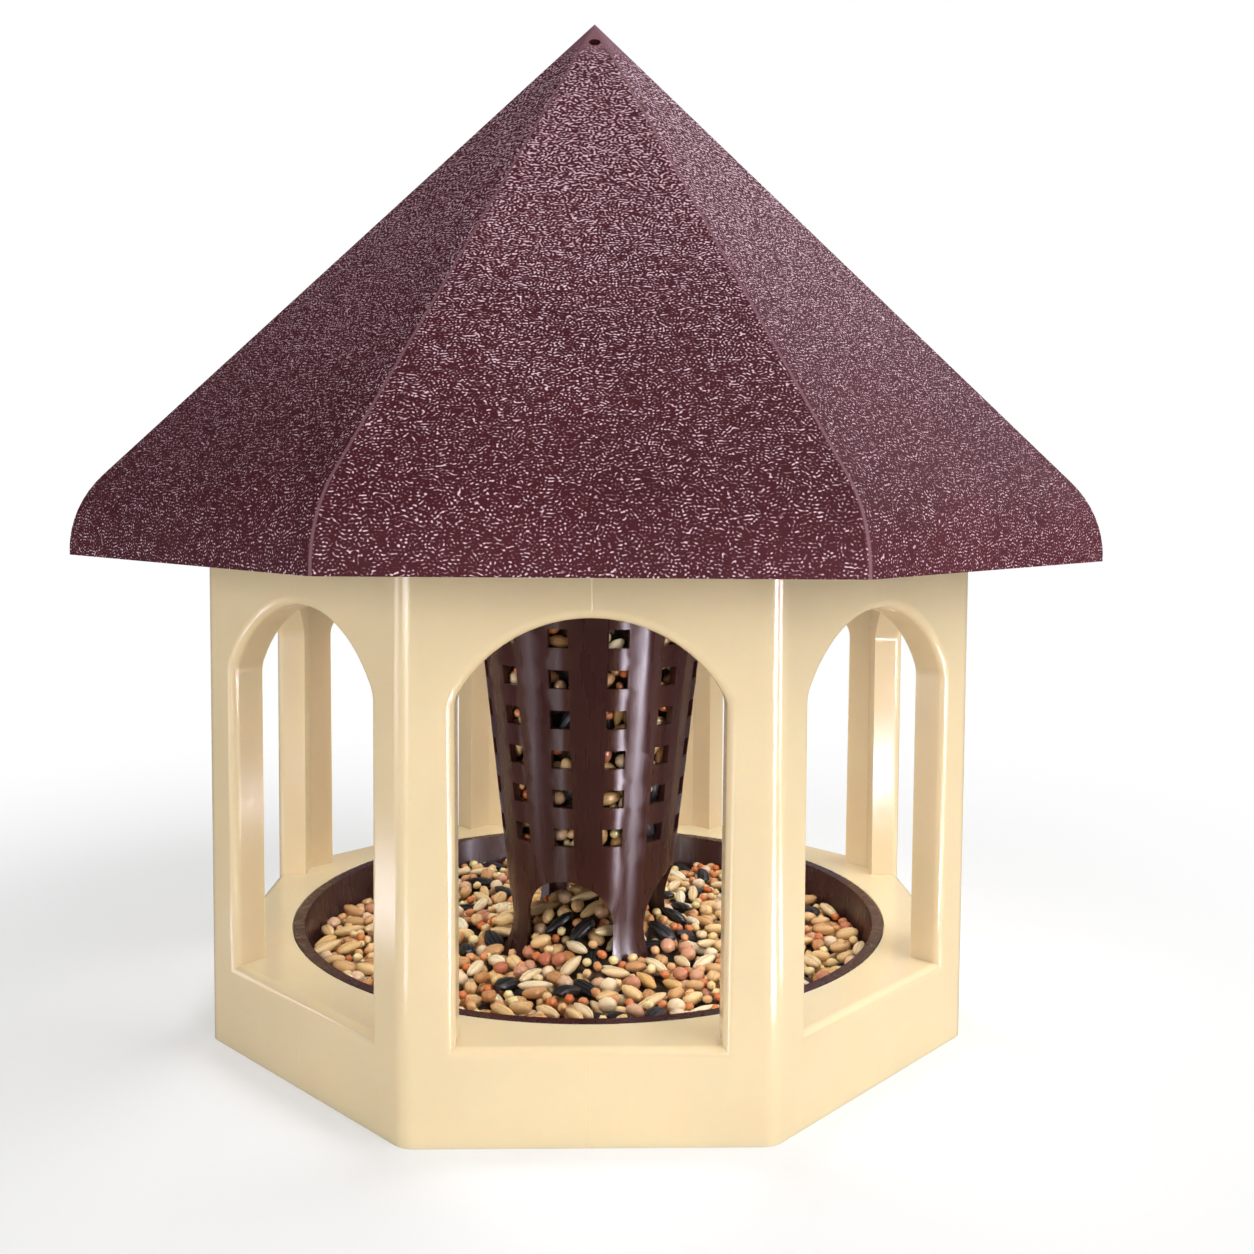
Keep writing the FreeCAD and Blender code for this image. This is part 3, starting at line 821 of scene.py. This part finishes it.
def column_grains(kinds, mix, chance):
    """Grains against the inside of the hopper, settled outwards onto its wall, and over the column's top."""
    middle = float(hopper_inside(np.array([(column_foot + column_level) / 2]))[0])
    skin = SeedMap((0.0, column_foot + 0.001), (2 * math.pi * middle, column_level), round_the_hopper=True)
    thick = 0.0046
    skin.fill(np.full(skin.shape, thick), thick, np.full(skin.shape, True))
    grains = []
    lean = Matrix.Rotation(-hopper_taper, 3, "X")
    for (run, height, depth), turn, scale, kind, tone in skin.settle(kinds, mix, -0.0012, 40, chance):
        angle = -run / middle
        wall = float(hopper_inside(np.array([height]))[0])
        along = (np.array(turn)[0] * list(kinds.values())[kind].size / 2 * scale)
        inward = depth + 0.0003 + float((along ** 2).sum()) / (2 * wall)
        frame_turn = Matrix((
            (math.sin(angle), 0.0, -math.cos(angle)), (-math.cos(angle), 0.0, -math.sin(angle)), (0.0, 1.0, 0.0)))
        out = wall - inward
        place = (out * math.cos(angle), out * math.sin(angle), height)
        grains.append((place, frame_turn @ lean @ turn, scale, kind, tone))
    rim = float(hopper_inside(np.array([column_level]))[0])
    top = SeedMap((-rim, -rim), (rim, rim))
    radius = np.hypot(top.x, top.y)
    level = column_level + 0.0015 * (1 - (radius / rim) ** 2)
    top.fill(level, 0.004, radius < rim - 0.0004)
    return grains + top.settle(kinds, mix, 0.0002, 40, chance)


def bed_level(x, y):
    """Height of the seed's surface over the dish: a little uneven, and heaped up towards the hopper's foot."""
    radius = np.hypot(x, y)
    bed_depth = 0.0083
    uneven = np.sin(x * 61 + 1.3 * np.sin(y * 47)) * np.sin(y * 73 + 1.1 * np.sin(x * 57 + 2.0))
    across = np.abs(beside_outlet(x, y)[1])
    run = np.clip((0.0155 - across) / 0.006, 0.0, 1.0)
    near = np.clip((0.037 - radius) / 0.016, 0.0, 1.0)
    heap = np.maximum(0.0, 0.021 - radius) * 0.5
    ramp = (0.0008 + 0.0036 * run) * near ** 2 * (3 - 2 * near)
    return dish_floor + bed_depth + 0.0006 * uneven + ramp + heap


def bed_sheet(name, sink):
    """Sheet under the loose grains, open where the hopper's legs stand."""
    rings = 64
    spokes = 240
    outer = float(dish_inside(np.array([dish_floor + 0.004]))[0]) - 0.0005
    angle, share = np.meshgrid(np.arange(spokes) * 2 * math.pi / spokes, np.arange(rings + 1) / rings)
    x = outer * share * np.cos(angle)
    y = outer * share * np.sin(angle)
    z = bed_level(x, y) - sink
    middle = outer * (share + 0.5 / rings)
    aside = angle + math.pi / spokes
    leg = by_legs(middle * np.cos(aside), middle * np.sin(aside), 0.0198, 0.0284, 0.0008)
    mesh = bmesh.new()
    points = [[mesh.verts.new((x[k, j], y[k, j], z[k, j])) for j in range(spokes)] for k in range(1, rings + 1)]
    centre = mesh.verts.new((0.0, 0.0, z[0, 0]))
    for j in range(spokes):
        after = (j + 1) % spokes
        mesh.faces.new((centre, points[0][j], points[0][after]))
        for k in range(rings - 1):
            if not leg[k + 1, j]:
                mesh.faces.new((points[k][j], points[k + 1][j], points[k + 1][after], points[k][after]))
    bmesh.ops.delete(mesh, geom=[v for v in mesh.verts if not v.link_faces], context="VERTS")
    done = bpy.data.meshes.new(name)
    mesh.to_mesh(done)
    mesh.free()
    return done


def thickened(mesh, foot):
    """Closes a sheet into a slab whose underside is flat."""
    slab = bmesh.new()
    slab.from_mesh(mesh)
    made = bmesh.ops.extrude_face_region(slab, geom=list(slab.faces))
    for part in made["geom"]:
        if isinstance(part, bmesh.types.BMVert):
            part.co.z = foot
    bmesh.ops.recalc_face_normals(slab, faces=slab.faces)
    slab.to_mesh(mesh)
    slab.free()
    return mesh


def lathe(name, profile, spokes):
    """Surface turned about the axis from points of radius and height; a radius of 0 closes it."""
    mesh = bmesh.new()
    rows = []
    for radius, height in profile:
        if radius == 0.0:
            rows.append([mesh.verts.new((0.0, 0.0, height))])
            continue
        row = []
        for j in range(spokes):
            angle = 2 * math.pi * j / spokes
            row.append(mesh.verts.new((radius * math.cos(angle), radius * math.sin(angle), height)))
        rows.append(row)
    for low, high in zip(rows, rows[1:]):
        for j in range(spokes):
            after = (j + 1) % spokes
            corners = (low[j % len(low)], low[after % len(low)], high[after % len(high)], high[j % len(high)])
            mesh.faces.new(list(dict.fromkeys(corners)))
    bmesh.ops.recalc_face_normals(mesh, faces=mesh.faces)
    done = bpy.data.meshes.new(name)
    mesh.to_mesh(done)
    mesh.free()
    return done


def column_profile(inset, top_drop, dome):
    """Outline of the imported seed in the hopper, set in from its wall, from its foot to the middle of its top."""
    top = column_level - top_drop
    profile = []
    for height in np.linspace(column_foot, top, 9):
        profile.append((float(hopper_inside(np.array([height]))[0]) - inset, float(height)))
    rim = profile[-1][0]
    for share in (0.75, 0.5, 0.25):
        profile.append((rim * share, top + dome * (1 - share ** 2)))
    profile.append((0.0, top + dome))
    return profile


# Operators

class FEEDING_OT_house_body(Operator):
    """Dress the beige house"""
    bl_idname = "feeding.house_body"
    bl_label = "House"

    def execute(self, context):
        finish = context.scene.feeding_house.house
        wide = finish.corner_round
        piece = smooth_copy("house_body", "house", 35.0, lambda joined: soften_corners(joined, wide))
        piece.data.materials.append(beige_moulding(finish))
        stand_for(piece, "house", "house_plastic", "house_body")
        return {"FINISHED"}


class FEEDING_OT_roof(Operator):
    """Dress the roof, grained outside and smooth inside"""
    bl_idname = "feeding.roof"
    bl_label = "Roof"

    def execute(self, context):
        finish = context.scene.feeding_house.roof
        piece = smooth_copy("roof", "roof_shell", 20.0)
        piece.data.materials.append(grained_maroon(finish))
        piece.data.materials.append(maroon_painted_shade(finish))
        for face in piece.data.polygons:
            out = face.center.copy()
            out.z = 0.0
            inside = face.normal.z < -0.05 or face.normal.dot(out.normalized()) < 0.05
            face.material_index = 1 if inside else 0
        stand_for(piece, "roof", "roof_plastic", "roof")
        return {"FINISHED"}


class FEEDING_OT_dish(Operator):
    """Dress the seed dish"""
    bl_idname = "feeding.dish"
    bl_label = "Dish"

    def execute(self, context):
        piece = smooth_copy("dish", "seed_dish", 30.0)
        piece.data.materials.append(glossy_brown(context.scene.feeding_house.brown))
        stand_for(piece, "dish", "dish_plastic", "dish")
        return {"FINISHED"}


class FEEDING_OT_hopper(Operator):
    """Dress the perforated hopper"""
    bl_idname = "feeding.hopper"
    bl_label = "Hopper"

    def execute(self, context):
        piece = smooth_copy("hopper", "seed_hopper", 30.0)
        piece.data.materials.append(bpy.data.materials["glossy_brown"])
        stand_for(piece, "hopper", "hopper_plastic", "hopper")
        return {"FINISHED"}


class FEEDING_OT_seed(Operator):
    """Strew mixed seed in the dish and in the hopper"""
    bl_idname = "feeding.seed"
    bl_label = "Mixed seed"

    def execute(self, context):
        mix = context.scene.feeding_house.seed
        kinds = grain_kinds()
        tree = seed_tree(kinds)
        shadow = seed_shadow()
        chance = np.random.default_rng(mix.number)

        deep = thickened(bed_sheet("dish_seed_deep", mix.depth), dish_floor + 0.0028)
        deep.materials.append(shadow)
        stand_for(link(bpy.data.objects.new("dish_seed_deep", deep)), "dish", "seed", "seed_bed")
        loose = dish_grains(kinds, mix, chance)
        stand_for(strewn("dish_seed", loose, tree, kinds, clear_in_dish), "dish", "seed")

        profile = [(0.0, column_foot)] + column_profile(0.0048, 0.0042, 0.0015)
        core = lathe("hopper_seed_deep", profile, 72)
        core.materials.append(shadow)
        stand_for(link(bpy.data.objects.new("hopper_seed_deep", core)), "hopper", "seed", "seed_column")
        held = column_grains(kinds, mix, chance)
        stand_for(strewn("hopper_seed", held, tree, kinds, clear_in_hopper), "hopper", "seed")

        for kind in kinds.values():
            bpy.data.objects.remove(kind.shape)
        return {"FINISHED"}


class FEEDING_OT_stage(Operator):
    """Set up the pale floor, the soft lamps and the camera"""
    bl_idname = "feeding.stage"
    bl_label = "Stage"

    def execute(self, context):
        look = context.scene.feeding_house.stage
        scene = context.scene
        scene.view_settings.view_transform = "Standard"

        data = bpy.data.cameras.new("camera")
        data.sensor_width = 36.0
        data.lens = 36.42
        data.clip_start = 0.01
        camera = link(bpy.data.objects.new("camera", data))
        pan, tip, roll = -0.028, -0.105, 0.008
        turn = Matrix.Rotation(pan, 4, "Z") @ Matrix.Rotation(math.pi / 2 + tip, 4, "X")
        place = Matrix.Translation((0.0, -0.3589, 0.1411))
        camera.matrix_world = place @ turn @ Matrix.Rotation(roll, 4, "Z")
        scene.camera = camera

        floor_mesh = bpy.data.meshes.new("floor")
        half = 6.0
        floor_mesh.from_pydata(
            [(-half, -half, 0.0), (half, -half, 0.0), (half, half, 0.0), (-half, half, 0.0)], [], [(0, 1, 2, 3)])
        floor = link(bpy.data.objects.new("floor", floor_mesh))
        floor_mesh.materials.append(self.pale_floor(look))
        scene.world = self.studio(look)

        self.lamp("key_lamp", look.key, 0.6, (0.86, -0.93, 0.45))
        self.lamp("fill_lamp", look.fill, 0.6, (-0.7, -1.05, 0.22))
        self.lamp("top_lamp", look.top, 0.8, (0.92, -0.24, 1.0))
        for name, x in (("back_left_lamp", -0.45), ("back_right_lamp", 0.55)):
            self.lamp(name, look.back, 0.6, (x, 1.25, 0.4)).visible_glossy = False
        inside = self.lamp("inside_lamp", look.inside, 0.14, (0.0, 0.0, 0.15))
        inside.data.shape = "DISK"
        inside.data.spread = math.radians(110)
        inside.visible_camera = False
        inside.visible_glossy = False
        return {"FINISHED"}

    def bright_strips(self, bench, x, y):
        """Strength of the lit screens that stand round the object, by direction, as reflections show them."""
        angle = bench.math("ARCTAN2", y, x)
        total = 0.08
        front_right, right, front_left = (-57, 2.5, 2.5, 70.0), (-36, 2, 2.5, 34.0), (-120, 3, 4, 6.0)
        left, back = (-163, 7, 5, 5.0), (90, 75, 12, 0.1)
        for middle, half, soft, strength in (front_right, right, front_left, left, back):
            off = bench.math("ABSOLUTE", bench.math("SUBTRACT", angle, math.radians(middle)))
            screen = bench.blend(off, math.radians(half), math.radians(half + soft), strength, 0.0)
            total = bench.math("ADD", total, screen)
        return total

    def pale_floor(self, look):
        """Matt floor that keeps the object's shadow and runs out into the white backdrop."""
        material, bench, surface = new_material("pale_floor")
        place, x, y, z = object_place(bench)
        cloud = bench.noise(place, 3.0)
        dim = [c * 0.985 for c in look.floor_colour]
        bench.feed(surface.inputs["Base Color"], bench.colour(cloud, dim, look.floor_colour))
        surface.inputs["Roughness"].default_value = 0.9
        surface.inputs["Specular IOR Level"].default_value = 0.1
        path = bench.add("ShaderNodeLightPath")
        reach = about_the_axis(bench, x, y)[0]
        near = bench.blend(reach, 0.22, 0.34, 1.3, 0.15)
        ends = bench.math("MAXIMUM", near, bench.blend(reach, 0.45, 0.65, 0.0, 0.9))
        strips = bench.math("MULTIPLY", self.bright_strips(bench, x, y), ends)
        screens = bench.blend(reach, 0.17, 0.22, 0.25, strips)
        white = bench.add("ShaderNodeEmission")
        mirrored = path.outputs["Is Glossy Ray"]
        bench.feed(white.inputs["Color"], bench.colour(mirrored, (1.0, 1.0, 1.0), look.screen_colour))
        bench.feed(white.inputs["Strength"], bench.blend(mirrored, 0.0, 1.0, 1.0, screens, smooth=False))
        far = bench.blend(reach, 0.12, look.floor_reach, 0.45, 1.0)
        plain = bench.math("MULTIPLY", far, path.outputs["Is Camera Ray"])
        blend = bench.add("ShaderNodeMixShader")
        bench.feed(blend.inputs[0], bench.math("MAXIMUM", plain, mirrored))
        bench.feed(blend.inputs[1], surface.outputs[0])
        bench.feed(blend.inputs[2], white.outputs[0])
        bench.feed(material.node_tree.nodes["Material Output"].inputs["Surface"], blend.outputs[0])
        return material

    def studio(self, look):
        """White backdrop to the eye, soft light that is stronger from the right, and lit screens in reflections."""
        world = bpy.data.worlds.new("studio")
        world.use_nodes = True
        bench = Bench(world.node_tree)
        room = world.node_tree.nodes["Background"]
        path = bench.add("ShaderNodeLightPath")
        bench.feed(room.inputs["Color"],
                   bench.colour(path.outputs["Is Glossy Ray"], (1.0, 1.0, 1.0), look.screen_colour))
        parts = bench.add("ShaderNodeSeparateXYZ")
        bench.feed(parts.inputs[0], bench.add("ShaderNodeTexCoord").outputs["Generated"])
        x, y, z = parts.outputs
        soft = bench.math("MULTIPLY", bench.blend(x, -0.8, 0.8, 0.35, 1.65), look.room)
        ceiling = bench.blend(x, -0.35, 0.5, 0.04, 1.3)
        screens = bench.blend(z, 0.25, 0.5, self.bright_strips(bench, x, y), ceiling)
        mirrored = bench.math("MAXIMUM", path.outputs["Is Glossy Ray"], path.outputs["Is Transmission Ray"])
        light = bench.blend(mirrored, 0.0, 1.0, soft, screens, smooth=False)
        bench.feed(room.inputs["Strength"],
                   bench.blend(path.outputs["Is Camera Ray"], 0.0, 1.0, light, 1.0, smooth=False))
        return world

    def lamp(self, name, power, size, place):
        """A square soft lamp aimed at the middle of the object."""
        data = bpy.data.lights.new(name, "AREA")
        data.energy = power
        data.size = size
        lamp = link(bpy.data.objects.new(name, data))
        lamp.location = place
        aim = Vector((0.0, 0.0, 0.12)) - lamp.location
        lamp.rotation_euler = aim.to_track_quat("-Z", "Y").to_euler()
        return lamp


class FEEDING_PT_panel(Panel):
    """Pieces and settings of the feeding house"""
    bl_idname = "FEEDING_PT_panel"
    bl_label = "Feeding house"
    bl_space_type = "VIEW_3D"
    bl_region_type = "UI"
    bl_category = "Feeding house"

    def draw(self, context):
        settings = context.scene.feeding_house
        for step in steps:
            self.layout.operator(step.bl_idname)
        for group in (settings.house, settings.roof, settings.brown, settings.seed, settings.stage):
            box = self.layout.box()
            for name in group.__annotations__:
                box.prop(group, name)


steps = (
    FEEDING_OT_house_body,
    FEEDING_OT_roof,
    FEEDING_OT_dish,
    FEEDING_OT_hopper,
    FEEDING_OT_seed,
    FEEDING_OT_stage,
)
classes = (HouseFinish, RoofFinish, BrownFinish, SeedMix, StageLook, FeedingHouse, *steps, FEEDING_PT_panel)


def register():
    for item in classes:
        bpy.utils.register_class(item)
    bpy.types.Scene.feeding_house = PointerProperty(type=FeedingHouse)


def unregister():
    del bpy.types.Scene.feeding_house
    for item in reversed(classes):
        bpy.utils.unregister_class(item)


def main():
    register()
    bpy.ops.feeding.house_body()
    bpy.ops.feeding.roof()
    bpy.ops.feeding.dish()
    bpy.ops.feeding.hopper()
    bpy.ops.feeding.seed()
    bpy.ops.feeding.stage()


if __name__ == "__main__":
    main()
